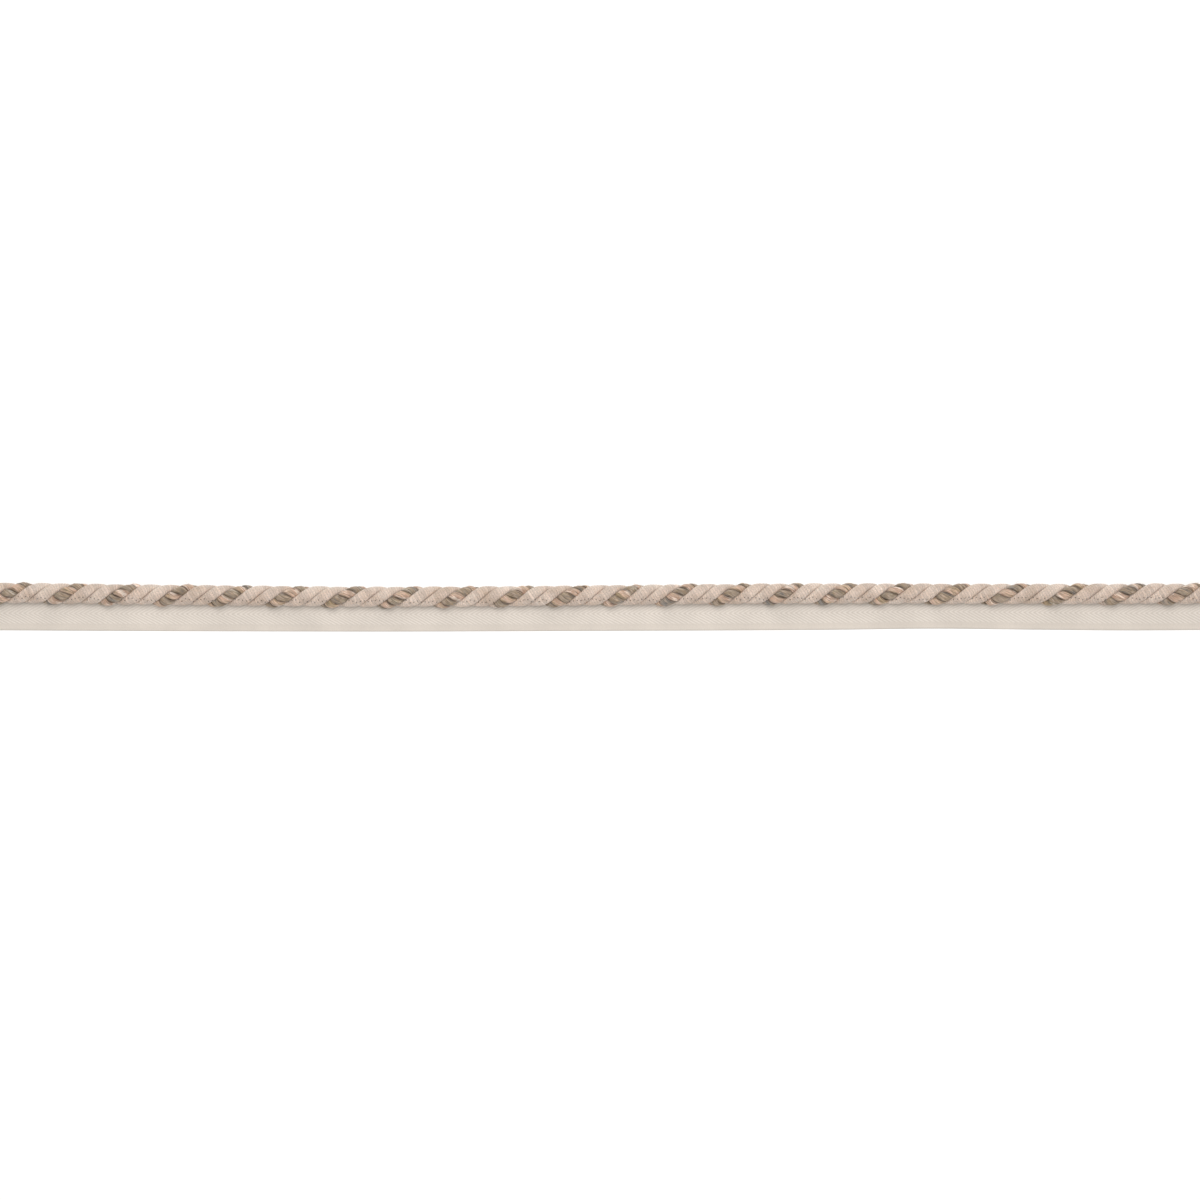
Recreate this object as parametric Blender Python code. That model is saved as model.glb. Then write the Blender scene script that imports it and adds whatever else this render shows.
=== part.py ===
"""Cord trim: a cord of three twisted strands, sewn along the edge of a herringbone tape.

Metres, +Z up. The trim lies flat on its tape: X runs along the cord, the tape reaches out
towards -Y, and the origin is at mid length on the tape's underside, below the cord's axis.
"""

import math

import bpy
import numpy as np

# Driving dimensions
TRIM_LENGTH = 0.520
TAPE_THICKNESS = 0.0010
TAPE_PRESSED_THICKNESS = 0.0009
TAPE_FACE_FROM_AXIS = 0.0050
TAPE_PAST_AXIS = 0.0028
CLEARANCE = 0.0003

# The strands slant, so this gap in their sections leaves about the clearance square to their sides
SECTION_GAP = 0.00042

# Each strand is an oval, flatter on its inner side. Its long way lies across the strand, and its centre
# winds round the cord's axis.
STRAND_CENTRE_RADIUS = 0.00215
INNER_HALF_HEIGHT = 0.00175
CREAM_HALF_HEIGHT = 0.0021
CREAM_HALF_WIDTH = 0.0028
MIXED_HALF_HEIGHT = 0.00235
MIXED_HALF_WIDTH = 0.0031

# How finely the solids are cut
STRAND_SIDES = 9
STRAND_STEPS = 220
TAPE_SIDES = 5
TAPE_STEPS = 40

# The strands share one twist, a third of a turn apart
# name, turns behind the mixed strand, half width, half height, material
STRANDS = (
    ("strand_mixed", 0.0, MIXED_HALF_WIDTH, MIXED_HALF_HEIGHT, "mixed_yarn"),
    ("strand_cream_a", 1 / 3, CREAM_HALF_WIDTH, CREAM_HALF_HEIGHT, "cream_yarn"),
    ("strand_cream_b", 2 / 3, CREAM_HALF_WIDTH, CREAM_HALF_HEIGHT, "cream_yarn"),
)

# The twist is a little uneven: where the mixed strand comes up to the crown
# along the trim in millimetres, turns made
TWIST = (
    (-277.0, -1.0),
    (-253.3, 0.0),
    (-158.7, 4.0),
    (-61.5, 8.0),
    (33.1, 12.0),
    (125.1, 16.0),
    (224.9, 20.0),
    (274.1, 22.0),
)

# The trim doesn't lie quite straight
# along the trim, cord's axis aside, tape's outer edge aside, all in millimetres
LIE = (
    (-262.0, 1.15, -15.05),
    (-172.0, 0.05, -15.45),
    (-90.0, -0.65, -15.60),
    (0.0, 0.00, -15.30),
    (60.0, 0.60, -15.10),
    (100.0, 0.75, -14.85),
    (142.0, 0.70, -14.35),
    (190.0, 0.60, -14.80),
    (225.0, 0.65, -15.10),
    (262.0, 0.70, -14.95),
)

# name, colour, roughness
MATERIALS = {
    "cream_yarn": ((0.60, 0.49, 0.40, 1.0), 0.75),
    "mixed_yarn": ((0.38, 0.29, 0.22, 1.0), 0.85),
    "woven_tape": ((0.71, 0.63, 0.56, 1.0), 0.85),
}

MILLIMETRE = 0.001
WEDGE = math.pi / len(STRANDS)
CORD_RADIUS = STRAND_CENTRE_RADIUS + MIXED_HALF_HEIGHT
AXIS_HEIGHT = TAPE_THICKNESS + CLEARANCE + CORD_RADIUS


def clear_scene():
    for obj in list(bpy.data.objects):
        bpy.data.objects.remove(obj, do_unlink=True)


def make_material(name):
    colour, roughness = MATERIALS[name]
    material = bpy.data.materials.new(name)
    material.use_nodes = True
    shader = material.node_tree.nodes["Principled BSDF"]
    shader.inputs["Base Color"].default_value = colour
    shader.inputs["Roughness"].default_value = roughness
    shader.inputs["Metallic"].default_value = 0.0
    return material


def smooth_through(rows, column, along):
    """The smooth curve through one column of a table: cubic pieces that share their slopes at the rows."""
    table = np.array(rows)
    stations, values = table[:, 0], table[:, column]
    slopes = np.gradient(values, stations)
    piece = np.clip(np.searchsorted(stations, along) - 1, 0, len(stations) - 2)
    span = stations[piece + 1] - stations[piece]
    t = (along - stations[piece]) / span
    start = values[piece] * (1 + 2 * t) * (1 - t) ** 2 + slopes[piece] * span * t * (1 - t) ** 2
    end = values[piece + 1] * (3 - 2 * t) * t**2 - slopes[piece + 1] * span * t**2 * (1 - t)
    return start + end


def strand_section(half_width, half_height):
    """The oval's points as (across, outwards) from its centre, drawn in to its own third of the cord."""
    angle = np.linspace(0, 2 * math.pi, STRAND_SIDES, endpoint=False)
    across = -half_width * np.sin(angle)
    outwards = np.where(np.cos(angle) > 0, half_height, INNER_HALF_HEIGHT) * np.cos(angle)
    room = (STRAND_CENTRE_RADIUS + outwards) * math.tan(WEDGE) - SECTION_GAP / 2 / math.cos(WEDGE)
    return np.clip(across, -room, room), outwards


def strand_rings(turns_behind, half_width, half_height):
    """One ring of points for each step: the section, turned round the cord's axis as the twist goes."""
    along = np.linspace(-TRIM_LENGTH / 2, TRIM_LENGTH / 2, STRAND_STEPS + 1)
    turns = smooth_through(TWIST, 1, along / MILLIMETRE) - turns_behind
    aside = smooth_through(LIE, 1, along / MILLIMETRE) * MILLIMETRE
    across, outwards = strand_section(half_width, half_height)
    angle = (2 * math.pi * turns)[:, None]
    radius = STRAND_CENTRE_RADIUS + outwards
    rings = np.empty((len(along), STRAND_SIDES, 3))
    rings[:, :, 0] = along[:, None]
    rings[:, :, 1] = aside[:, None] + radius * np.sin(angle) + across * np.cos(angle)
    rings[:, :, 2] = AXIS_HEIGHT + radius * np.cos(angle) - across * np.sin(angle)
    return rings, np.hypot(radius, across)


def strand_faces(reach):
    """Two triangles for each cell. Each cell is split from its inner corner to its outer one a step on, so
    that strands that face each other bend the same way and keep their clearance."""
    faces = []
    for step in range(STRAND_STEPS):
        here = step * STRAND_SIDES
        there = here + STRAND_SIDES
        for side in range(STRAND_SIDES):
            after = (side + 1) % STRAND_SIDES
            a, b, c, d = here + side, here + after, there + after, there + side
            if reach[side] < reach[after]:
                faces += [(a, b, c), (a, c, d)]
            else:
                faces += [(a, b, d), (b, c, d)]
    last = STRAND_STEPS * STRAND_SIDES
    faces.append(tuple(reversed(range(STRAND_SIDES))))
    faces.append(tuple(range(last, last + STRAND_SIDES)))
    return faces


def tape_rings():
    """The tape's section at each step: its outer edge follows the lie, its hidden edge the cord's axis.
    The top is flat beside the cord, and falls a little below it, where the stitches press the cloth."""
    along = np.linspace(-TRIM_LENGTH / 2, TRIM_LENGTH / 2, TAPE_STEPS + 1)
    axis = smooth_through(LIE, 1, along / MILLIMETRE) * MILLIMETRE
    outer = smooth_through(LIE, 2, along / MILLIMETRE) * MILLIMETRE
    hidden = axis + TAPE_PAST_AXIS
    rings = np.empty((len(along), TAPE_SIDES, 3))
    rings[:, :, 0] = along[:, None]
    rings[:, :, 1] = np.stack([outer, hidden, hidden, axis - TAPE_FACE_FROM_AXIS, outer], axis=1)
    rings[:, :, 2] = (0.0, 0.0, TAPE_PRESSED_THICKNESS, TAPE_THICKNESS, TAPE_THICKNESS)
    return rings


def tape_faces():
    faces = []
    for step in range(TAPE_STEPS):
        here = step * TAPE_SIDES
        there = here + TAPE_SIDES
        for side in range(TAPE_SIDES):
            after = (side + 1) % TAPE_SIDES
            faces.append((here + side, here + after, there + after, there + side))
    last = TAPE_STEPS * TAPE_SIDES
    faces.append(tuple(reversed(range(TAPE_SIDES))))
    faces.append(tuple(range(last, last + TAPE_SIDES)))
    return faces


def add_object(name, rings, faces, material):
    mesh = bpy.data.meshes.new(name)
    mesh.from_pydata(rings.reshape(-1, 3).tolist(), [], faces)
    mesh.validate()
    mesh.materials.append(material)
    mesh.shade_smooth()
    mesh.set_sharp_from_angle(angle=math.radians(60))
    obj = bpy.data.objects.new(name, mesh)
    bpy.context.scene.collection.objects.link(obj)
    return obj


def main():
    clear_scene()
    materials = {name: make_material(name) for name in MATERIALS}
    for name, turns_behind, half_width, half_height, material in STRANDS:
        rings, reach = strand_rings(turns_behind, half_width, half_height)
        add_object(name, rings, strand_faces(reach), materials[material])
    add_object("tape", tape_rings(), tape_faces(), materials["woven_tape"])


main()
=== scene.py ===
"""Looks of a twisted cord trim, laid out as an add-on and run as a script.

A cord of two cream gimped strands and one mixed slub strand is sewn along a herringbone tape.
Every length is in metres unless its name or its table says millimetres. X runs along the cord,
the tape reaches out towards -Y, and Z = 0 is the surface that the tape lies on.
"""

import math

import bmesh
import bpy
import numpy as np
from bpy.props import FloatProperty, FloatVectorProperty, IntProperty, PointerProperty
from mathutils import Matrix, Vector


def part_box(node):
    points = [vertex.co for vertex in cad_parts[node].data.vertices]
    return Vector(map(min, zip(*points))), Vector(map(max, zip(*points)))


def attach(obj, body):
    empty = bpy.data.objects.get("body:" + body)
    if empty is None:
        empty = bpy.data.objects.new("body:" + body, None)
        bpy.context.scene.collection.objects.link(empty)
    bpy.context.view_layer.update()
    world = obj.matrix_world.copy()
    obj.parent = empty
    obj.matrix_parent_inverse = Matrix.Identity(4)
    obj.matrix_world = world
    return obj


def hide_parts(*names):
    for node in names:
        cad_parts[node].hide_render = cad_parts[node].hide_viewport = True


bl_info = {
    "name": "Twisted cord trim",
    "version": (1, 0, 0),
    "blender": (4, 5, 0),
    "location": "3D View > Sidebar > Trim",
    "description": "Gimped and slub strands twisted to a cord, on a herringbone tape",
    "category": "Add Mesh",
}

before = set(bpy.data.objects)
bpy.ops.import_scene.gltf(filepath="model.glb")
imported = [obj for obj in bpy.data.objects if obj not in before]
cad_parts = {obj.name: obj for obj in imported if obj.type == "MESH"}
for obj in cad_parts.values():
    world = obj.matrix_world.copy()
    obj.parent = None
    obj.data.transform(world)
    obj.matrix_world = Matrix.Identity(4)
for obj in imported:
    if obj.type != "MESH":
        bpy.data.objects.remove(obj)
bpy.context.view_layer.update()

MILLIMETRE = 0.001
TAPE_LOW, TAPE_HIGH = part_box("tape")
MIXED_LOW, MIXED_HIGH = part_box("strand_mixed")
TRIM_LENGTH = TAPE_HIGH.x - TAPE_LOW.x
AXIS_HEIGHT = (MIXED_LOW.z + MIXED_HIGH.z) / 2

# The photograph: its side in pixels, what one pixel measures, and where the cord's axis crosses mid width
PHOTO_SIDE_PX = 1200
PIXEL = 0.43 * MILLIMETRE
CORD_ROW_PX = 595.3

# A third of the cord belongs to each strand
STRANDS = 3
WEDGE = math.pi / STRANDS

# Where the mixed strand comes up to the crown: along the trim in millimetres, turns made
TWIST = (
    (-277.0, -1.0),
    (-253.3, 0.0),
    (-158.7, 4.0),
    (-61.5, 8.0),
    (33.1, 12.0),
    (125.1, 16.0),
    (224.9, 20.0),
    (274.1, 22.0),
)

# How the two plies of the mixed strand twist round each other: turns of the cord, turns of the plies.
# At whole turns of the plies, the tan ply is outermost.
PLY_TWIST = (
    (-1.5, -5.75),
    (0.0, 0.52),
    (2.0, 8.89),
    (4.0, 17.33),
    (5.0, 21.64),
    (6.0, 25.75),
    (8.0, 34.00),
    (10.0, 42.64),
    (12.0, 51.21),
    (13.0, 55.46),
    (15.0, 63.50),
    (16.0, 67.69),
    (17.0, 71.75),
    (19.0, 80.13),
    (21.0, 88.35),
    (22.5, 94.60),
)

# How the trim lies: along it, cord's axis aside, tape's outer edge aside, all in millimetres
LIE = (
    (-262.0, 1.15, -15.05),
    (-172.0, 0.05, -15.45),
    (-90.0, -0.65, -15.60),
    (0.0, 0.00, -15.30),
    (60.0, 0.60, -15.10),
    (100.0, 0.75, -14.85),
    (142.0, 0.70, -14.35),
    (190.0, 0.60, -14.80),
    (225.0, 0.65, -15.10),
    (262.0, 0.70, -14.95),
)


def linear(code):
    """A hex sRGB colour as linear red, green, blue and alpha."""
    channels = np.array([int(code[i : i + 2], 16) for i in (1, 3, 5)]) / 255
    low, high = channels / 12.92, ((channels + 0.055) / 1.055) ** 2.4
    return (*np.where(channels <= 0.04045, low, high).tolist(), 1.0)


def colour(name, description, code):
    """A colour property whose default is a hex sRGB colour."""
    return FloatVectorProperty(
        name=name, description=description, default=linear(code), subtype="COLOR", size=4, min=0, max=1
    )


def length(name, description, millimetres):
    """A length property whose default is given in millimetres."""
    return FloatProperty(
        name=name, description=description, default=millimetres * MILLIMETRE, unit="LENGTH", precision=5
    )


# Shapes


def smooth_through(rows, column, along):
    """The smooth curve through one column of a table: cubic pieces that share their slopes at the rows."""
    table = np.array(rows)
    stations, values = table[:, 0], table[:, column]
    slopes = np.gradient(values, stations)
    piece = np.clip(np.searchsorted(stations, along) - 1, 0, len(stations) - 2)
    span = stations[piece + 1] - stations[piece]
    t = (along - stations[piece]) / span
    start = values[piece] * (1 + 2 * t) * (1 - t) ** 2 + slopes[piece] * span * t * (1 - t) ** 2
    end = values[piece + 1] * (3 - 2 * t) * t**2 - slopes[piece + 1] * span * t**2 * (1 - t)
    return start + end


def turns_at(along):
    """Turns that the cord's twist has made at each place along it."""
    return smooth_through(TWIST, 1, along / MILLIMETRE)


def axis_aside(along):
    """How far aside the cord's axis lies at each place along it."""
    return smooth_through(LIE, 1, along / MILLIMETRE) * MILLIMETRE


def tape_edge(along):
    """How far aside the tape's outer edge lies at each place along it."""
    return smooth_through(LIE, 2, along / MILLIMETRE) * MILLIMETRE


def wavering(place, period, seed, count=5):
    """Smooth noise from -1 to 1: a mean of sines, each of its own period near the one given."""
    rng = np.random.default_rng(seed)
    periods = period * rng.uniform(0.55, 1.9, count)
    phases = rng.uniform(0, 2 * math.pi, count)
    total = sum(np.sin(2 * math.pi * place / p + f) for p, f in zip(periods, phases))
    return total / math.sqrt(count)


def unit(vectors):
    return vectors / np.linalg.norm(vectors, axis=-1, keepdims=True)


def strand_line(along, turns_behind, radius):
    """A helix round the cord's axis: the line's points, and at each the way straight out from the axis."""
    angle = 2 * math.pi * (turns_at(along) - turns_behind)
    outward = np.stack([np.zeros_like(angle), np.sin(angle), np.cos(angle)], axis=-1)
    axis = np.stack([along, axis_aside(along), np.full_like(along, AXIS_HEIGHT)], axis=-1)
    return axis + radius * outward, outward


def section_frame(points, outward):
    """At each point of a line: its direction, and outward and sideways square to it."""
    ahead = unit(np.gradient(points, axis=0))
    out = unit(outward - (outward * ahead).sum(axis=-1, keepdims=True) * ahead)
    return ahead, out, np.cross(ahead, out)


def run_of(points):
    """The length along a line up to each of its points."""
    steps = np.linalg.norm(np.diff(points, axis=0), axis=-1)
    return np.concatenate([[0.0], np.cumsum(steps)])


def oval_round(points, outward, angles, half_width, half_height, raised):
    """An oval square to a line at each of its points: half_width times the sine of the angle sideways and
    half_height times the cosine outwards, each raised by the relief. Returns the offsets and the way
    ahead."""
    ahead, out, sideways = (v[:, None, :] for v in section_frame(points, outward))
    across = ((half_width + raised) * np.sin(angles))[..., None]
    up = ((half_height + raised) * np.cos(angles))[..., None]
    return across * sideways + up * out, ahead


def round_tube(points, outward, angles, half_width, half_height, raised=0.0):
    """An oval carried along a line, always square to it."""
    return points[:, None, :] + oval_round(points, outward, angles, half_width, half_height, raised)[0]


def sliced_tube(points, outward, angles, half_width, half_height, raised=0.0):
    """An oval carried along a line and cut by planes square to X: each point of it slides along the line
    until its X is the line's own, so every ring is flat. Returns the points and how far each slid."""
    offset, ahead = oval_round(points, outward, angles, half_width, half_height, raised)
    slide = -offset[..., :1] / ahead[..., :1]
    return points[:, None, :] + offset + slide * ahead, slide[..., 0]


def kept_in_third(rings, turns_behind, overlap=0.16 * MILLIMETRE):
    """Presses a strand into its own third of the cord: each point's angle from the strand's middle is
    eased to stay within 60 degrees and a little more, so that strands press against each other."""
    along = rings[..., 0]
    aside = rings[..., 1] - axis_aside(along)
    height = rings[..., 2] - AXIS_HEIGHT
    reach = np.hypot(aside, height)
    middle = 2 * math.pi * (turns_at(along) - turns_behind)
    off = (np.arctan2(aside, height) - middle + math.pi) % (2 * math.pi) - math.pi
    limit = WEDGE + np.arcsin(np.clip(overlap / reach, 0, 0.8))
    share = off / limit
    eased = limit * share / (1 + np.abs(share) ** 12) ** (1 / 12)
    pressed = rings.copy()
    pressed[..., 1] = axis_aside(along) + reach * np.sin(middle + eased)
    pressed[..., 2] = AXIS_HEIGHT + reach * np.cos(middle + eased)
    return pressed


def ring_steps(step, past=0.0):
    """Places along the trim, evenly spaced by about one step, from past one end to past the other."""
    half = TRIM_LENGTH / 2 + past
    return np.linspace(-half, half, round(2 * half / step) + 1)


def outer_denser(count, ease=0.4):
    """Angles round an oval, closer together on its outer side, which is at 0."""
    t = np.linspace(-1, 1, count, endpoint=False)
    return math.pi * t - ease * np.sin(math.pi * t)


def closed_ends(rings, extras, depth):
    """Adds rings at both ends that shrink to the middle of the cut, sinking in by the depth given."""
    shares = np.array([0.93, 0.7, 0.4, 0.12])[:, None, None]
    drops = np.array([0.25, 0.6, 1.0, 0.8]) * depth
    first, last = rings[0], rings[-1]
    start = first.mean(axis=0) + shares * (first - first.mean(axis=0))
    end = last.mean(axis=0) + shares * (last - last.mean(axis=0))
    start[..., 0] += drops[:, None]
    end[..., 0] -= drops[:, None]
    rings = np.concatenate([start[::-1], rings, end])
    grown = [np.concatenate([e[:1].repeat(4, axis=0), e, e[-1:].repeat(4, axis=0)]) for e in extras]
    return rings, grown


def cut_flat(rings, end):
    """Cuts a tube with the planes X = end and X = -end. From mid length outwards, each line along the
    tube stops where it first passes the plane, so the last ring is the outline of the cut."""
    middle = len(rings) // 2
    side = np.arange(rings.shape[1])
    for way in (1.0, -1.0):
        rings = rings[::-1]
        beyond = rings[..., 0] * -way > end
        beyond[:middle] = False
        first = beyond.argmax(axis=0)
        before, after = rings[first - 1, side], rings[first, side]
        share = (-way * end - before[:, 0]) / (after[:, 0] - before[:, 0])
        crossing = before + share[:, None] * (after - before)
        past = np.arange(len(rings))[:, None] >= first
        rings = np.where(past[..., None], crossing, rings)
    return rings


def merged(mesh):
    """Merges the points of a mesh that lie in one place, which drops the faces without area."""
    shape = bmesh.new()
    shape.from_mesh(mesh)
    bmesh.ops.remove_doubles(shape, verts=shape.verts, dist=0.0001 * MILLIMETRE)
    shape.to_mesh(mesh)
    shape.free()


def tube_mesh(name, rings, uv, points_data=(), cut_rings=4):
    """A mesh from rings of points, closed round and at both ends.

    uv has one column more than the rings, so the pattern is whole at the seam. points_data holds
    (name, values for each point). The first and last cut_rings and the caps take the second material."""
    count, around = rings.shape[:2]
    mesh = bpy.data.meshes.new(name)
    row = np.arange(count - 1)[:, None] * around
    side = np.arange(around)[None, :]
    after = (side + 1) % around
    quads = np.stack([row + side, row + around + side, row + around + after, row + after], axis=-1)
    caps = [tuple(range(around)), tuple(reversed(range((count - 1) * around, count * around)))]
    mesh.from_pydata(rings.reshape(-1, 3), [], quads.reshape(-1, 4).tolist() + caps)
    corners = np.stack([uv[:-1, :-1], uv[1:, :-1], uv[1:, 1:], uv[:-1, 1:]], axis=2).reshape(-1, 2)
    ends = np.concatenate([uv[0, :-1], uv[-1, :-1][::-1]])
    layer = mesh.uv_layers.new(name="yarn")
    layer.uv.foreach_set("vector", np.concatenate([corners, ends]).astype(np.float32).ravel())
    for label, values in points_data:
        attribute = mesh.attributes.new(label, "FLOAT", "POINT")
        attribute.data.foreach_set("value", values.astype(np.float32).ravel())
    cut = np.zeros((count - 1, around), np.int32)
    cut[:cut_rings] = 1
    cut[count - 1 - cut_rings :] = 1
    mesh.polygons.foreach_set("material_index", np.concatenate([cut.ravel(), [1, 1]]).astype(np.int32))
    mesh.shade_smooth()
    merged(mesh)
    mesh.set_sharp_from_angle(angle=math.radians(75))
    return mesh


def add_piece(name, mesh, materials, slot, *nodes):
    """Puts a mesh in the scene as a piece that rides on the trim and stands for these CAD nodes."""
    obj = bpy.data.objects.new(name, mesh)
    bpy.context.scene.collection.objects.link(obj)
    for material in materials:
        mesh.materials.append(material)
    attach(obj, "root")
    if nodes:
        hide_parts(*nodes)
    return obj


# Materials


def add_node(tree, kind, inputs=None, stops=(), **settings):
    """Adds a node. Each input is a value or another node's socket, and stops colour a ramp."""
    node = tree.nodes.new(kind)
    for name, value in settings.items():
        setattr(node, name, value)
    for key, value in (inputs or {}).items():
        if isinstance(value, bpy.types.NodeSocket):
            tree.links.new(value, node.inputs[key])
        else:
            node.inputs[key].default_value = value
    for index, (place, shade) in enumerate(stops):
        elements = node.color_ramp.elements
        element = elements[index] if index < len(elements) else elements.new(place)
        element.position = place
        element.color = shade
    return node


def new_material(name, roughness, sheen=0.0, depth=0.0):
    """A material of that name with its node tree and its Principled BSDF. Light that enters it spreads
    sideways by about the depth."""
    material = bpy.data.materials.new(name)
    material.use_nodes = True
    tree = material.node_tree
    shader = tree.nodes["Principled BSDF"]
    shader.inputs["Roughness"].default_value = roughness
    shader.inputs["Sheen Weight"].default_value = sheen
    shader.inputs["Specular IOR Level"].default_value = 0.25
    shader.inputs["Subsurface Weight"].default_value = 1.0 if depth else 0.0
    shader.inputs["Subsurface Radius"].default_value = (1.0, 0.9, 0.8)
    shader.inputs["Subsurface Scale"].default_value = depth
    return material, tree, shader


def gimped_cotton(settings):
    """Gimped cotton: a soft core wrapped side by side with fine mercerised threads. The wraps give it
    matte ribs across the strand, a little uneven in tone, with painted shade in the grooves between
    them and painted glints among the fibres, and the needle has left small holes, painted dark as shade."""
    material, tree, shader = new_material("gimped_cotton", 0.5, sheen=0.03, depth=1.0 * MILLIMETRE)
    yarn = add_node(tree, "ShaderNodeUVMap", uv_map="yarn").outputs["UV"]
    place = add_node(tree, "ShaderNodeSeparateXYZ", {"Vector": yarn}).outputs
    wrap = add_node(tree, "ShaderNodeMath", {0: place["X"]}, operation="FLOOR").outputs[0]
    wrap_tone = add_node(tree, "ShaderNodeTexWhiteNoise", {"W": wrap}, noise_dimensions="1D").outputs["Value"]
    hollow = add_node(tree, "ShaderNodeMath", {0: place["X"], 1: math.pi}, operation="MULTIPLY").outputs[0]
    hollow = add_node(tree, "ShaderNodeMath", {0: hollow}, operation="SINE").outputs[0]
    hollow = add_node(tree, "ShaderNodeMath", {0: hollow}, operation="ABSOLUTE").outputs[0]
    rib = add_node(tree, "ShaderNodeMapRange", {"Value": hollow, "From Max": 0.7}).outputs["Result"]
    spot = add_node(tree, "ShaderNodeTexCoord").outputs["Object"]
    soft = add_node(tree, "ShaderNodeTexNoise", {"Vector": spot, "Scale": 95.0, "Detail": 3.0}).outputs["Fac"]
    stretch = add_node(
        tree, "ShaderNodeMapping", {"Vector": yarn, "Scale": (2.4, 1.5, 1.0)}
    ).outputs["Vector"]
    threads = add_node(tree, "ShaderNodeTexNoise", {"Vector": stretch, "Scale": 1.0, "Detail": 3.0}).outputs["Fac"]
    base = add_node(
        tree,
        "ShaderNodeValToRGB",
        {"Fac": soft},
        stops=((0.3, settings.cream_shade), (0.52, settings.cream), (0.72, settings.cream_light)),
    ).outputs["Color"]
    toned = add_node(
        tree, "ShaderNodeMapRange", {"Value": wrap_tone, "To Min": 0.88, "To Max": 1.1}
    ).outputs["Result"]
    # Painted shade: the grooves between the wraps are painted darker.
    painted_groove_shade = add_node(tree, "ShaderNodeMapRange", {"Value": rib, "To Min": 0.8, "To Max": 1.0}).outputs["Result"]
    # Fibre tone that differs at random; its bright end is a painted highlight that stands in for glints on the
    # threads.
    fibre_tone_and_painted_glints = add_node(
        tree,
        "ShaderNodeMapRange",
        {"Value": threads, "From Min": 0.3, "From Max": 0.7, "To Min": 0.78, "To Max": 1.26},
    ).outputs["Result"]
    tone = add_node(tree, "ShaderNodeMath", {0: toned, 1: painted_groove_shade}, operation="MULTIPLY").outputs[0]
    tone = add_node(tree, "ShaderNodeMath", {0: tone, 1: fibre_tone_and_painted_glints}, operation="MULTIPLY").outputs[0]
    holes = needle_holes(tree)
    # Painted shade: each needle hole is painted dark.
    painted_hole_shade = add_node(tree, "ShaderNodeMapRange", {"Value": holes, "To Min": 1.0, "To Max": 0.3}).outputs["Result"]
    tone = add_node(tree, "ShaderNodeMath", {0: tone, 1: painted_hole_shade}, operation="MULTIPLY").outputs[0]
    tinted = add_node(tree, "ShaderNodeVectorMath", {0: base, "Scale": tone}, operation="SCALE").outputs["Vector"]
    tree.links.new(tinted, shader.inputs["Base Color"])
    relief = add_node(tree, "ShaderNodeMath", {0: threads, 1: holes}, operation="SUBTRACT").outputs[0]
    bump = add_node(tree, "ShaderNodeBump", {"Height": relief, "Strength": 0.6, "Distance": 0.00012}).outputs["Normal"]
    tree.links.new(bump, shader.inputs["Normal"])
    return material


def needle_holes(tree):
    """1 in each needle hole and 0 outside: spots where two stitch coordinates are both near 0."""
    along = add_node(tree, "ShaderNodeAttribute", attribute_name="stitch_along").outputs["Fac"]
    off_line = add_node(tree, "ShaderNodeAttribute", attribute_name="stitch_off").outputs["Fac"]
    number = add_node(tree, "ShaderNodeMath", {0: along}, operation="ROUND").outputs[0]
    chance = add_node(tree, "ShaderNodeTexWhiteNoise", {"W": number}, noise_dimensions="1D").outputs
    shift = add_node(tree, "ShaderNodeMapRange", {"Value": chance["Value"], "To Min": -0.4, "To Max": 0.4})
    near = add_node(tree, "ShaderNodeMath", {0: along, 1: number}, operation="SUBTRACT").outputs[0]
    off_line = add_node(
        tree, "ShaderNodeMath", {0: off_line, 1: shift.outputs["Result"]}, operation="ADD"
    ).outputs[0]
    spread = add_node(tree, "ShaderNodeCombineXYZ", {"X": near, "Y": off_line}).outputs["Vector"]
    away = add_node(tree, "ShaderNodeVectorMath", {0: spread}, operation="LENGTH").outputs["Value"]
    return add_node(
        tree,
        "ShaderNodeMapRange",
        {"Value": away, "From Min": 0.08, "From Max": 0.24, "To Min": 1.0, "To Max": 0.0},
        interpolation_type="SMOOTHSTEP",
    ).outputs["Result"]


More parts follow.
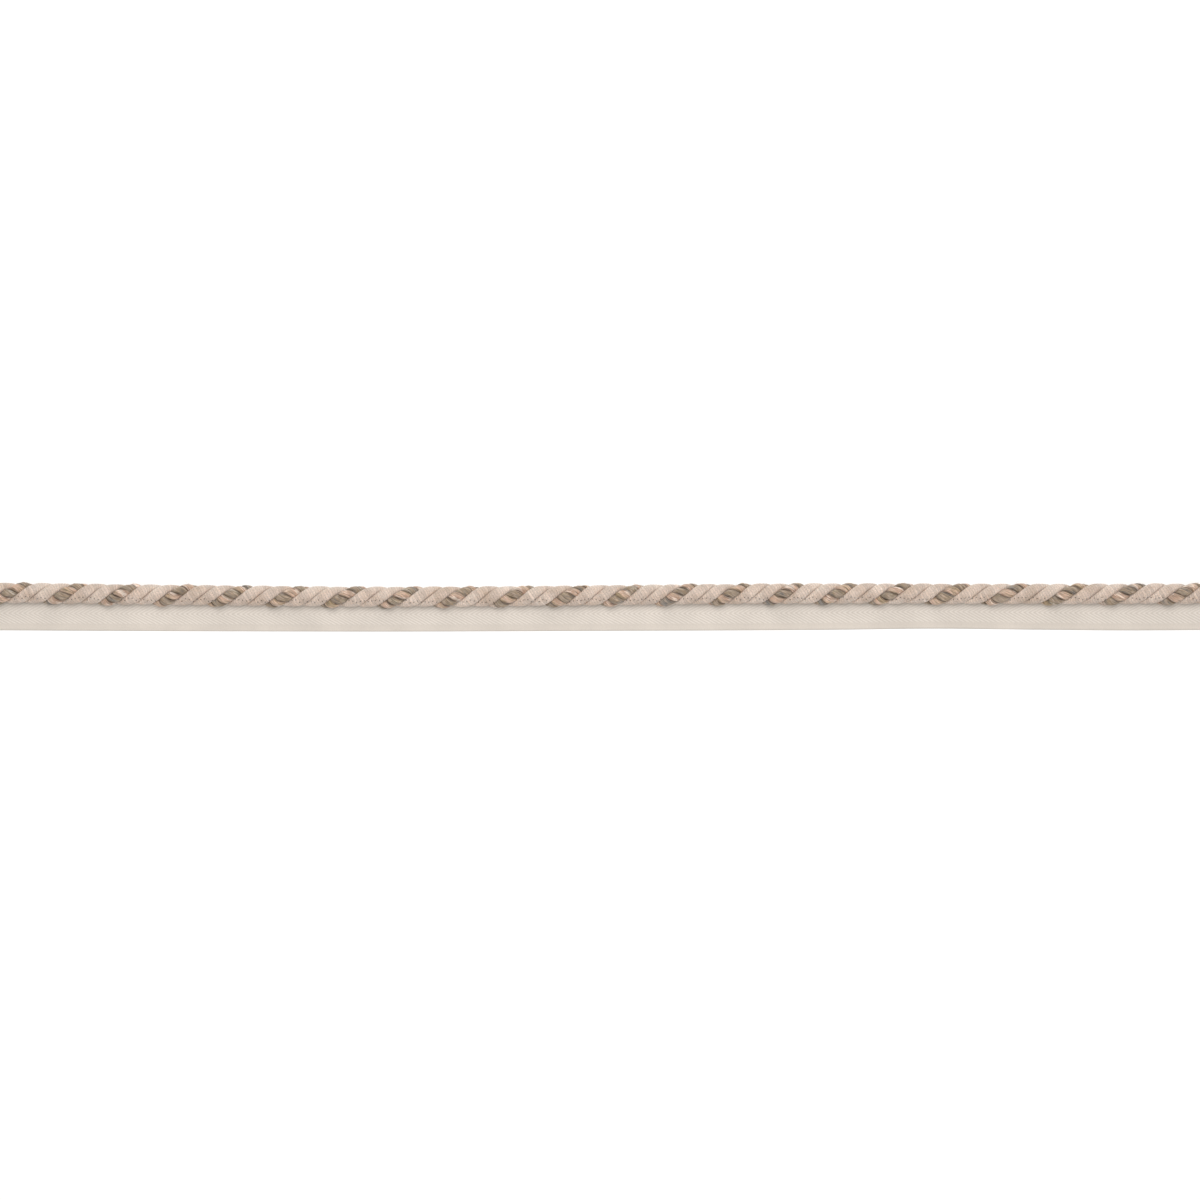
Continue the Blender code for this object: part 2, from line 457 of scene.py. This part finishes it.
def slub_yarn(name, stops, dark):
    """Slub yarn: softly spun fibres of several dyes, thick and thin. The dyes drift along the ply, the
    fibres streak it lengthways, and painted shade darkens it where the plies press together."""
    material, tree, shader = new_material(name, 0.85, sheen=0.08, depth=0.3 * MILLIMETRE)
    yarn = add_node(tree, "ShaderNodeUVMap", uv_map="yarn").outputs["UV"]
    drift = add_node(tree, "ShaderNodeMapping", {"Vector": yarn, "Scale": (0.14, 0.25, 1.0)}).outputs["Vector"]
    dye = add_node(tree, "ShaderNodeTexNoise", {"Vector": drift, "Scale": 1.0, "Detail": 1.5}).outputs["Fac"]
    streak = add_node(tree, "ShaderNodeMapping", {"Vector": yarn, "Scale": (0.4, 2.0, 1.0)}).outputs["Vector"]
    fibre = add_node(
        tree, "ShaderNodeTexNoise", {"Vector": streak, "Scale": 1.0, "Detail": 3.0, "Roughness": 0.6}
    ).outputs["Fac"]
    mixed = add_node(tree, "ShaderNodeMath", {0: fibre, 1: 0.5}, operation="SUBTRACT").outputs[0]
    mixed = add_node(tree, "ShaderNodeMath", {0: mixed, 1: 0.45, 2: dye}, operation="MULTIPLY_ADD").outputs[0]
    base = add_node(tree, "ShaderNodeValToRGB", {"Fac": mixed}, stops=stops).outputs["Color"]
    tone = add_node(tree, "ShaderNodeMapRange", {"Value": fibre, "From Min": 0.3, "From Max": 0.7, "To Min": 0.42, "To Max": 1.55}).outputs["Result"]
    tinted = add_node(tree, "ShaderNodeVectorMath", {0: base, "Scale": tone}, operation="SCALE").outputs["Vector"]
    # Painted shade: the ply's colour is mixed towards the dark fold colour where the plies press together.
    painted_fold_shade = add_node(tree, "ShaderNodeAttribute", attribute_name="painted_fold_shade").outputs["Fac"]
    shaded = add_node(tree, "ShaderNodeMix", {0: painted_fold_shade, 6: tinted, 7: dark}, data_type="RGBA").outputs[2]
    tree.links.new(shaded, shader.inputs["Base Color"])
    bump = add_node(tree, "ShaderNodeBump", {"Height": fibre, "Strength": 0.8, "Distance": 0.0003}).outputs["Normal"]
    tree.links.new(bump, shader.inputs["Normal"])
    return material


class CreamSettings(bpy.types.PropertyGroup):
    """The two gimped strands."""

    centre_radius: length("Centre radius", "From the cord's axis to a strand's middle", 2.15)
    half_width: length("Half width", "Half the strand's width, square to the strand", 2.5)
    half_height: length("Height outwards", "From the strand's middle to its outer side", 2.12)
    inner_height: length("Height inwards", "From the strand's middle to its inner side", 1.75)
    wrap_pitch: length("Wrap pitch", "From one wrap to the next", 0.95)
    wrap_relief: length("Wrap relief", "How far a wrap stands out", 0.09)
    stitch_pitch: length("Stitch pitch", "From one needle hole to the next", 1.63)
    stitch_aside: length("Stitch line", "How far the needle's line lies aside of the cord's axis", -2.1)
    around: IntProperty(name="Points round", description="Points round a strand", default=24, min=8)
    step: length("Ring step", "From one ring of points to the next", 0.145)
    cream: colour("Cream", "The wraps", "#c5b4a7")
    cream_light: colour("Light cream", "The wraps where they are palest", "#d0c1b4")
    cream_shade: colour("Warm cream", "The wraps where they are darkest", "#bba898")
    core: colour("Core", "The cut core", "#d2c8ba")


class MixedSettings(bpy.types.PropertyGroup):
    """The slub strand and the fibres that stray from it."""

    centre_radius: length("Centre radius", "From the cord's axis to the strand's middle", 2.15)
    ply_radius: length("Ply radius", "From the strand's middle to a ply's middle", 1.0)
    ply_half_height: length("Ply half height", "Half a ply's thickness, outwards", 1.42)
    ply_half_width: length("Ply half width", "Half a ply's width, sideways", 1.85)
    sag: length("Sag", "How far the loose yarn swells towards the tape", 0.5)
    slub: FloatProperty(
        name="Slub", description="How much a ply swells and thins", default=0.14, subtype="FACTOR", min=0, max=0.5
    )
    around: IntProperty(name="Points round", description="Points round a ply", default=18, min=8)
    step: length("Ring step", "From one ring of points to the next", 0.26)
    strays: IntProperty(name="Stray fibres", description="Fibres that stand off the strand", default=3000, min=0)
    # Painted shade in the folds between the plies; the cut ends also take this colour as their dark speckle.
    dark: colour("Painted fold shade", "Painted shade where the plies press together, and the dark speckle of cut ends", "#46392d")


class TapeSettings(bpy.types.PropertyGroup):
    """The herringbone tape."""

    past_axis: length("Hidden width", "How far the tape reaches past the cord's axis", 2.8)
    thickness: length("Thickness", "The cloth without its ribs", 0.55)
    rise: length("Rise", "How far the stitches draw the cloth up beside the cord", 2.3)
    rise_reach: length("Rise reach", "From the cord's axis to where the cloth lies flat", 13.5)
    rib_relief: length("Rib relief", "How far a twill rib stands out", 0.13)
    rib_pitch: length("Rib pitch", "From one twill rib to the next, along the tape", 2.19)
    rib_slope: FloatProperty(
        name="Rib slope", description="The ribs' angle from the tape's length", default=math.radians(28), subtype="ANGLE"
    )
    selvedge: length("Selvedge", "The plain band along the outer edge", 2.8)
    spine: length("Spine", "From the outer edge to where the ribs turn", 7.35)
    cloth: colour("Cloth", "The cotton tape", "#d3cac0")
    # Painted highlight on the rib crests; it also speckles the cut ends.
    cloth_light: colour("Painted rib highlight", "Painted highlight on the crests of the ribs, and the pale speckle of cut ends", "#dbd3ca")
    # Painted shade in the rib hollows; it also tints the selvedge and speckles the cut ends.
    cloth_shade: colour("Painted rib hollow shade", "Painted shade in the rib hollows, which also tints the selvedge and the cut ends", "#c3b9ae")


class StageSettings(bpy.types.PropertyGroup):
    """Floor, light and camera."""

    lens: FloatProperty(name="Lens", description="Focal length in millimetres", default=85.0, min=10)
    floor: colour("Floor", "The pale floor", "#fbfbfa")
    key_power: FloatProperty(name="Key power", description="The soft box in watts", default=6.8, min=0, unit="POWER")
    fill: FloatProperty(name="Fill", description="Light from all around", default=0.71, min=0)


class TrimSettings(bpy.types.PropertyGroup):
    """Everything that a user would change on the trim."""

    cream: PointerProperty(type=CreamSettings)
    mixed: PointerProperty(type=MixedSettings)
    tape: PointerProperty(type=TapeSettings)
    stage: PointerProperty(type=StageSettings)


def cut_fibres(name, pale, shade):
    """Cut yarn: fine fibre ends side by side, matte. It gives a speckled flat face."""
    material, tree, shader = new_material(name, roughness=0.9)
    spot = add_node(tree, "ShaderNodeTexCoord").outputs["Object"]
    ends = add_node(tree, "ShaderNodeTexVoronoi", {"Vector": spot, "Scale": 4200.0}).outputs["Distance"]
    tone = add_node(
        tree,
        "ShaderNodeValToRGB",
        {"Fac": ends},
        stops=((0.0, pale), (0.8, shade)),
    ).outputs["Color"]
    tree.links.new(tone, shader.inputs["Base Color"])
    bump = add_node(tree, "ShaderNodeBump", {"Height": ends, "Strength": 0.7, "Distance": 0.0002}).outputs["Normal"]
    tree.links.new(bump, shader.inputs["Normal"])
    return material


class TRIM_OT_cream_strands(bpy.types.Operator):
    """Winds the two gimped strands, with their wraps and needle holes"""

    bl_idname = "trim.cream_strands"
    bl_label = "Cream strands"

    def execute(self, context):
        settings = context.scene.trim.cream
        cut = cut_fibres("cut_cotton_core", settings.core, settings.cream_shade)
        materials = [gimped_cotton(settings), cut]
        for index, (name, fullness) in enumerate((("cream_a", 1.04), ("cream_b", 1.0)), start=1):
            mesh = gimped_strand("gimped_" + name, index / STRANDS, fullness, 10 * index, settings)
            add_piece("gimped_" + name, mesh, materials, "cream_yarn", "strand_" + name)
        return {"FINISHED"}


def gimped_strand(name, turns_behind, fullness, seed, settings):
    """An oval wound round the cord's axis and pressed into its third. Its relief is the square of a sine
    of the wrap number: the length along the strand over the pitch, plus one wrap for each time round."""
    along = ring_steps(settings.step)
    angles = outer_denser(settings.around)
    line, outward = strand_line(along, turns_behind, settings.centre_radius)
    run = run_of(line)
    swell = fullness + 0.025 * wavering(run, 0.017, seed)[:, None]
    width = settings.half_width * swell
    height = np.where(np.cos(angles) > 0, settings.half_height, settings.inner_height) * swell
    slide = sliced_tube(line, outward, angles, width, height)[1]
    place = run[:, None] + slide
    uneven = 0.12 * wavering(place, 0.006, seed + 1)
    wrap = place / settings.wrap_pitch + angles / (2 * math.pi) + uneven
    depth = settings.wrap_relief * (0.8 + 0.35 * wavering(run, 0.09, seed + 2)[:, None])
    raised = depth * np.sin(math.pi * wrap) ** 2
    rings = sliced_tube(line, outward, angles, width, height, raised)[0]
    rings = kept_in_third(rings, turns_behind)
    seam = wrap[:, :1] + 1.0
    across = (angles / math.pi * settings.half_width * math.pi / MILLIMETRE) * np.ones_like(wrap)
    across_seam = np.full_like(seam, settings.half_width * math.pi / MILLIMETRE)
    uv = np.stack([np.hstack([wrap, seam]), np.hstack([across, across_seam])], axis=-1)
    stitch_along = rings[..., 0] / settings.stitch_pitch
    stitch_off = (rings[..., 1] - axis_aside(rings[..., 0]) - settings.stitch_aside) / settings.stitch_pitch
    stitch_off = np.where(rings[..., 2] > AXIS_HEIGHT, stitch_off, 9.0)
    rings, (uv, stitch_along, stitch_off) = closed_ends(
        rings, (uv, stitch_along, stitch_off), 0.3 * MILLIMETRE
    )
    return tube_mesh(name, rings, uv, (("stitch_along", stitch_along), ("stitch_off", stitch_off)))


# Two plies: name, turns ahead round the strand, seed, ramp of dyes from one end of the noise to the other
PLIES = (
    (
        "grey",
        0.5,
        31,
        ((0.30, "#86807a"), (0.40, "#9a8c7e"), (0.48, "#93816b"), (0.56, "#a89788"), (0.64, "#887b66"), (0.74, "#b9ac9e")),
    ),
    (
        "tan",
        0.0,
        47,
        ((0.30, "#9e8c73"), (0.40, "#b59d86"), (0.48, "#c0a997"), (0.56, "#b1937f"), (0.64, "#d2c3b6"), (0.74, "#978674")),
    ),
)


# How far the plies are worked out past the cut ends
PAST_END = 4.0 * MILLIMETRE

# One ply is cut this much shorter than the other, so that their cut faces don't lie in one plane
CUT_STEP = 0.04 * MILLIMETRE


def ply_line(turns_ahead, settings):
    """A helix round the mixed strand's own helix, worked out finely and then read at even steps of its
    own length. Returns its points, the way out from the strand's middle, and the length run."""
    along = ring_steps(0.013 * MILLIMETRE, PAST_END)
    middle, outward = strand_line(along, 0.0, settings.centre_radius)
    _, out, sideways = section_frame(middle, outward)
    angle = 2 * math.pi * (smooth_through(PLY_TWIST, 1, turns_at(along)) + turns_ahead)[:, None]
    away = np.cos(angle) * out + np.sin(angle) * sideways
    points = middle + settings.ply_radius * away
    run = run_of(points)
    run -= np.interp(-TRIM_LENGTH / 2, points[:, 0], run)
    even = np.linspace(run[0], run[-1], round((run[-1] - run[0]) / settings.step) + 1)
    line = np.stack([np.interp(even, run, column) for column in points.T], axis=-1)
    away = np.stack([np.interp(even, run, column) for column in away.T], axis=-1)
    return line, unit(away), even


def sagged(rings, sag):
    """Lets the loose yarn swell towards the tape: each point moves out from the cord's axis by the sag,
    times the square of how far it faces aside to the tape, on the cord's outer half."""
    away = np.stack([rings[..., 1] - axis_aside(rings[..., 0]), rings[..., 2] - AXIS_HEIGHT], axis=-1)
    reach = np.linalg.norm(away, axis=-1)
    facing = np.clip(-away[..., 0] / reach, 0, 1) ** 2
    outer = np.clip(reach / (4 * MILLIMETRE), 0, 1) ** 2
    sunk = rings.copy()
    sunk[..., 1:] += away * (sag * facing * outer / reach)[..., None]
    return sunk


def slub_ply(name, turns_ahead, seed, settings):
    """An oval wound round the mixed strand. Slubs swell it, and its relief is a sum of sines round it
    that turn slowly along it, as bundles of fibre do. Both ends are cut flat."""
    angles = np.linspace(-math.pi, math.pi, settings.around, endpoint=False)
    line, outward, run = ply_line(turns_ahead, settings)
    swell = 1 + settings.slub * wavering(run, 0.011, seed)[:, None]
    width, height = settings.ply_half_width * swell, settings.ply_half_height * (0.5 + 0.5 * swell)
    place = run[:, None] / MILLIMETRE
    bundles = (
        np.sin(5 * angles + 0.5 * place + 1.5 * wavering(place, 9, seed + 1))
        + 0.8 * np.sin(8 * angles + 0.8 * place + 2.0 * wavering(place, 7, seed + 2))
        + 0.9 * wavering(place + 2.5 * np.cos(angles), 3.1, seed + 3)
    )
    raised = 0.055 * MILLIMETRE * bundles
    rings = round_tube(line, outward, angles, width, height, raised)
    rings = kept_in_third(rings, 0.0)
    rings = sagged(rings, settings.sag)
    rings = cut_flat(rings, TRIM_LENGTH / 2 - 2 * turns_ahead * CUT_STEP)
    lengthways = place * np.ones_like(angles)
    around = angles * settings.ply_half_width / MILLIMETRE * np.ones_like(place)
    seam = np.full_like(place, math.pi * settings.ply_half_width / MILLIMETRE)
    uv = np.stack([np.hstack([lengthways, place]), np.hstack([around, seam])], axis=-1)
    # Painted shade: a point is painted darker the further it turns from the strand's outside, towards the other ply
    # where the plies press together.
    facing = np.cos(angles) * np.ones_like(place)
    painted_fold_shade = np.clip((0.78 - facing) / 0.8, 0, 1) ** 1.3
    return tube_mesh(name, rings, uv, (("painted_fold_shade", painted_fold_shade),), cut_rings=0)


class TRIM_OT_mixed_strand(bpy.types.Operator):
    """Twists a grey and a tan slub ply to the mixed strand"""

    bl_idname = "trim.mixed_strand"
    bl_label = "Mixed strand"

    def execute(self, context):
        settings = context.scene.trim.mixed
        for name, turns_ahead, seed, dyes in PLIES:
            stops = [(place, linear(code)) for place, code in dyes]
            material = slub_yarn("slub_yarn_" + name, stops, settings.dark)
            cut = cut_fibres("cut_slub_yarn_" + name, stops[3][1], settings.dark)
            mesh = slub_ply("slub_ply_" + name, turns_ahead, seed, settings)
            add_piece("slub_ply_" + name, mesh, [material, cut], "mixed_yarn", "strand_mixed")
        return {"FINISHED"}


class TRIM_OT_stray_fibres(bpy.types.Operator):
    """Lets loose fibres stand off the mixed strand"""

    bl_idname = "trim.stray_fibres"
    bl_label = "Stray fibres"

    def execute(self, context):
        settings = context.scene.trim.mixed
        for index, (name, turns_ahead, seed, dyes) in enumerate(PLIES):
            stops = [(place, linear(code)) for place, code in dyes]
            material = slub_yarn("slub_fibre_" + name, stops, settings.dark)
            mesh = stray_fibres("stray_fibres_" + name, turns_ahead, seed + 5, settings)
            add_piece("stray_fibres_" + name, mesh, [material], "mixed_yarn")
        return {"FINISHED"}


def stray_fibres(name, turns_ahead, seed, settings, knots=7, sides=3):
    """Thin bent tubes that start on a ply. Each leaves along the ply and outwards, bows at a steady rate
    and tapers to its tip: a point is the root plus length times share times heading, plus the bow times
    the share squared."""
    rng = np.random.default_rng(seed)
    count = settings.strays // len(PLIES)
    line, outward, _ = ply_line(turns_ahead, settings)
    ahead, out, sideways = section_frame(line, outward)
    low_side = np.clip((axis_aside(line[:, 0]) - line[:, 1]) / (2 * MILLIMETRE), 0, 1)
    chance = 1 + 1.5 * low_side
    chance[np.abs(line[:, 0]) > TRIM_LENGTH / 2 - 3 * MILLIMETRE] = 0
    ring = rng.choice(len(line), count, p=chance / chance.sum())
    angle = rng.uniform(-1.7, 1.7, count)
    lean = np.cos(angle)[:, None] * out[ring] + np.sin(angle)[:, None] * sideways[ring]
    root = line[ring] + lean * settings.ply_half_height * 0.95
    way = np.where(rng.random(count) < 0.5, 1.0, -1.0)[:, None]
    heading = unit(way * ahead[ring] + lean * rng.uniform(0.05, 0.6, (count, 1)) + rng.normal(0, 0.25, (count, 3)))
    bow = rng.normal(0, 0.9, (count, 3)) - 0.4 * lean
    reach = rng.uniform(0.6, 2.3, (count, 1)) * MILLIMETRE
    share = np.linspace(0, 1, knots)
    path = root[:, None] + reach[:, None] * (share[:, None] * heading[:, None] + (share**2)[:, None] * 0.5 * bow[:, None])
    path[..., 2] = np.maximum(path[..., 2], TAPE_HIGH.z)
    thick = rng.uniform(0.035, 0.06, (count, 1)) * MILLIMETRE * (1 - 0.75 * share)
    spoke = np.arange(sides) * 2 * math.pi / sides
    step = unit(np.gradient(path, axis=1))
    first = unit(np.cross(step, (0.31, 0.2, 0.93)))
    second = np.cross(step, first)
    ring_points = path[:, :, None] + thick[:, :, None, None] * (
        np.cos(spoke)[:, None] * first[:, :, None] + np.sin(spoke)[:, None] * second[:, :, None]
    )
    points = ring_points.reshape(-1, 3)
    start = (np.arange(count) * knots * sides)[:, None, None]
    row = (np.arange(knots - 1) * sides)[None, :, None]
    side = np.arange(sides)[None, None, :]
    after = (side + 1) % sides
    quads = np.stack(
        [start + row + side, start + row + after, start + row + sides + after, start + row + sides + side], axis=-1
    ).reshape(-1, 4)
    tips = (start[:, 0] + np.arange(sides)[::-1]).reshape(-1, sides)
    ends = (start[:, 0] + (knots - 1) * sides + np.arange(sides)).reshape(-1, sides)
    mesh = bpy.data.meshes.new(name)
    mesh.from_pydata(points, [], quads.tolist() + tips.tolist() + ends.tolist())
    layer = mesh.uv_layers.new(name="yarn")
    corner = np.zeros(len(mesh.loops), np.int32)
    mesh.loops.foreach_get("vertex_index", corner)
    hair = corner // (knots * sides)
    spots = np.stack([ring[hair] * settings.step / MILLIMETRE, rng.uniform(-4, 4, count)[hair]], axis=-1)
    layer.uv.foreach_set("vector", spots.astype(np.float32).ravel())
    # Each stray fibre takes a little of the painted fold shade, evenly along it.
    painted_fold_shade = mesh.attributes.new("painted_fold_shade", "FLOAT", "POINT")
    painted_fold_shade.data.foreach_set("value", np.full(len(points), 0.15, np.float32))
    mesh.shade_smooth()
    mesh.update()
    return mesh


def herringbone_cotton(settings):
    """Herringbone cotton: two-up two-down twill whose ribs turn at a spine, matte and undyed, with a
    plain selvedge. It gives fine slanting ribs with a thread's grain across them, with painted shade in
    the rib hollows and a painted highlight on the crests."""
    material, tree, shader = new_material("herringbone_cotton", roughness=0.88, sheen=0.05)
    cloth = add_node(tree, "ShaderNodeUVMap", uv_map="yarn").outputs["UV"]
    rib = add_node(tree, "ShaderNodeAttribute", attribute_name="rib").outputs["Fac"]
    spot = add_node(tree, "ShaderNodeTexCoord").outputs["Object"]
    soft = add_node(tree, "ShaderNodeTexNoise", {"Vector": spot, "Scale": 60.0, "Detail": 3.0}).outputs["Fac"]
    weave = add_node(tree, "ShaderNodeMapping", {"Vector": cloth, "Scale": (2.0, 1.7, 1.0)}).outputs["Vector"]
    threads = add_node(
        tree, "ShaderNodeTexVoronoi", {"Vector": weave, "Scale": 1.0, "Randomness": 0.35}
    ).outputs["Distance"]
    # Painted shade and highlight: the rib wave paints the hollows darker and the crests lighter.
    base = add_node(
        tree,
        "ShaderNodeValToRGB",
        {"Fac": rib},
        stops=((0.0, settings.cloth_shade), (0.55, settings.cloth), (1.0, settings.cloth_light)),
    ).outputs["Color"]
    patchy = add_node(tree, "ShaderNodeMapRange", {"Value": soft, "From Min": 0.3, "From Max": 0.7, "To Min": 0.95, "To Max": 1.05}).outputs["Result"]
    grain = add_node(tree, "ShaderNodeMapRange", {"Value": threads, "To Min": 1.07, "To Max": 0.88}).outputs["Result"]
    tone = add_node(tree, "ShaderNodeMath", {0: patchy, 1: grain}, operation="MULTIPLY").outputs[0]
    tinted = add_node(tree, "ShaderNodeVectorMath", {0: base, "Scale": tone}, operation="SCALE").outputs["Vector"]
    tree.links.new(tinted, shader.inputs["Base Color"])
    bump = add_node(
        tree, "ShaderNodeBump", {"Height": threads, "Strength": 0.5, "Distance": 0.00012}, invert=True
    ).outputs["Normal"]
    tree.links.new(bump, shader.inputs["Normal"])
    return material


def drawn_up(off_axis, settings):
    """How far the cloth stands off the surface beside the cord: the rise, times the share of the way in
    to the cord to the power 1.15, cut short where the cord's round underside comes down to the cloth."""
    radius = (MIXED_HIGH.z - MIXED_LOW.z) / 2
    near = settings.rise_reach - 0.86 * radius
    share = np.clip((settings.rise_reach + off_axis) / near, 0, 1)
    step = settings.rise * share**1.15
    under = AXIS_HEIGHT - np.sqrt(np.clip(radius**2 - off_axis**2, 0, None))
    room = under - settings.thickness - settings.rib_relief - 0.35 * MILLIMETRE
    return np.minimum(step, np.clip(room, 0, None))


def herringbone_tape(name, settings):
    """A strip whose rings run round the cloth, across its face and back below. On the face the height is
    the thickness plus the relief times a rounded wave of the rib number: the length along the tape, less
    the distance from the spine over the tangent of the ribs' slope, over the pitch."""
    along = ring_steps(0.36 * MILLIMETRE)
    outer, hidden = tape_edge(along), axis_aside(along) + settings.past_axis
    width = hidden - outer
    shown = np.linspace(0, 0.66, 38)
    face = np.concatenate([shown, np.linspace(0.66, 1, 8)[1:]])
    back = np.concatenate([np.linspace(0.995, 0.66, 8), [0.5, 0.3, 0.005]])
    share = np.concatenate([face, back])
    across = share[None, :] * width[:, None]
    y = outer[:, None] + across
    far = np.abs(across - settings.spine)
    rib_number = (along[:, None] - far / math.tan(settings.rib_slope)) / settings.rib_pitch
    rib_number = rib_number + 0.05 * wavering(along[:, None], 0.02, 5)
    wave = 0.5 + 0.5 * np.cos(2 * math.pi * rib_number)
    woven = np.clip((across - settings.selvedge) / (0.5 * MILLIMETRE), 0, 1)
    # The rib value also colours the cloth: painted shade in the hollows and a painted highlight on the crests. The
    # plain selvedge is held at 0.3, a little darker than the cloth.
    rib = woven * wave + (1 - woven) * 0.3
    edge = np.clip(np.minimum(across, width[:, None] - across) / (0.35 * MILLIMETRE), 0, 1)
    rounded = np.sqrt(1 - (1 - edge) ** 2)
    lift = 0.1 * MILLIMETRE * (1 + wavering(along[:, None] + 0.4 * across, 0.05, 9)) * np.clip(across / width[:, None] * 2, 0, 1)
    lift += drawn_up(y - axis_aside(along)[:, None], settings)
    z = (settings.thickness * (0.35 + 0.65 * rounded) + settings.rib_relief * rib * rounded) + lift
    z[:, len(face) :] = lift[:, len(face) :] * 0.9
    rib[:, len(face) :] = 0.7
    rings = np.stack([np.broadcast_to(along[:, None], y.shape), y, z], axis=-1)[:, ::-1]
    place = np.hstack([y[:, ::-1], y[:, -1:]]) / MILLIMETRE
    uv = np.stack([np.broadcast_to(along[:, None] / MILLIMETRE, place.shape), place], axis=-1)
    return tube_mesh(name, rings, uv, (("rib", rib[:, ::-1]),), cut_rings=0)


class TRIM_OT_tape(bpy.types.Operator):
    """Weaves the herringbone tape"""

    bl_idname = "trim.tape"
    bl_label = "Herringbone tape"

    def execute(self, context):
        settings = context.scene.trim.tape
        mesh = herringbone_tape("herringbone_tape", settings)
        cut = cut_fibres("cut_tape_threads", settings.cloth_light, settings.cloth_shade)
        tape = add_piece("herringbone_tape", mesh, [herringbone_cotton(settings), cut], "woven_tape", "tape")
        return {"FINISHED"}


class TRIM_OT_stage(bpy.types.Operator):
    """Lays the pale floor, lights it softly and sets the camera straight above"""

    bl_idname = "trim.stage"
    bl_label = "Stage"

    def execute(self, context):
        scene, settings = context.scene, context.scene.trim.stage
        floor_mesh = bpy.data.meshes.new("floor")
        half, level = 4.0, -0.0001
        corners = [(-half, -half, level), (half, -half, level), (half, half, level), (-half, half, level)]
        floor_mesh.from_pydata(corners, [], [(0, 1, 2, 3)])
        floor = bpy.data.objects.new("floor", floor_mesh)
        scene.collection.objects.link(floor)
        material, _, shader = new_material("matte_paper", roughness=0.95)
        shader.inputs["Base Color"].default_value = settings.floor
        floor_mesh.materials.append(material)

        world = bpy.data.worlds.new("studio")
        world.use_nodes = True
        background = world.node_tree.nodes["Background"]
        background.inputs["Color"].default_value = (1.0, 1.0, 1.0, 1.0)
        background.inputs["Strength"].default_value = settings.fill
        scene.world = world

        lamp = bpy.data.lights.new("soft_box", "AREA")
        lamp.shape = "DISK"
        lamp.size = 0.6
        lamp.energy = settings.key_power
        key = bpy.data.objects.new("soft_box", lamp)
        key.location = (0.0, 0.3, 1.0)
        key.rotation_euler = (-math.atan2(0.3, 1.0), 0.0, 0.0)
        scene.collection.objects.link(key)

        view = bpy.data.cameras.new("camera")
        view.lens = settings.lens
        view.sensor_width = 36.0
        distance = PHOTO_SIDE_PX * PIXEL / 2 / (view.sensor_width / 2 / view.lens)
        camera = bpy.data.objects.new("camera", view)
        camera.location = (0.0, (CORD_ROW_PX - PHOTO_SIDE_PX / 2) * PIXEL, distance + AXIS_HEIGHT)
        scene.collection.objects.link(camera)
        scene.camera = camera
        scene.view_settings.view_transform = "Standard"
        return {"FINISHED"}


class TRIM_PT_panel(bpy.types.Panel):
    """Lists the trim's pieces"""

    bl_idname = "TRIM_PT_panel"
    bl_label = "Cord trim"
    bl_space_type = "VIEW_3D"
    bl_region_type = "UI"
    bl_category = "Trim"

    def draw(self, context):
        for operator in OPERATORS:
            self.layout.operator(operator.bl_idname)


OPERATORS = (TRIM_OT_stage, TRIM_OT_cream_strands, TRIM_OT_mixed_strand, TRIM_OT_stray_fibres, TRIM_OT_tape)
SETTINGS = (CreamSettings, MixedSettings, TapeSettings, StageSettings, TrimSettings)


def register():
    for kind in (*SETTINGS, *OPERATORS, TRIM_PT_panel):
        bpy.utils.register_class(kind)
    bpy.types.Scene.trim = PointerProperty(type=TrimSettings)


def unregister():
    del bpy.types.Scene.trim
    for kind in reversed((*SETTINGS, *OPERATORS, TRIM_PT_panel)):
        bpy.utils.unregister_class(kind)


def main():
    register()
    bpy.ops.trim.stage()
    bpy.ops.trim.cream_strands()
    bpy.ops.trim.mixed_strand()
    bpy.ops.trim.stray_fibres()
    bpy.ops.trim.tape()


if __name__ == "__main__":
    main()
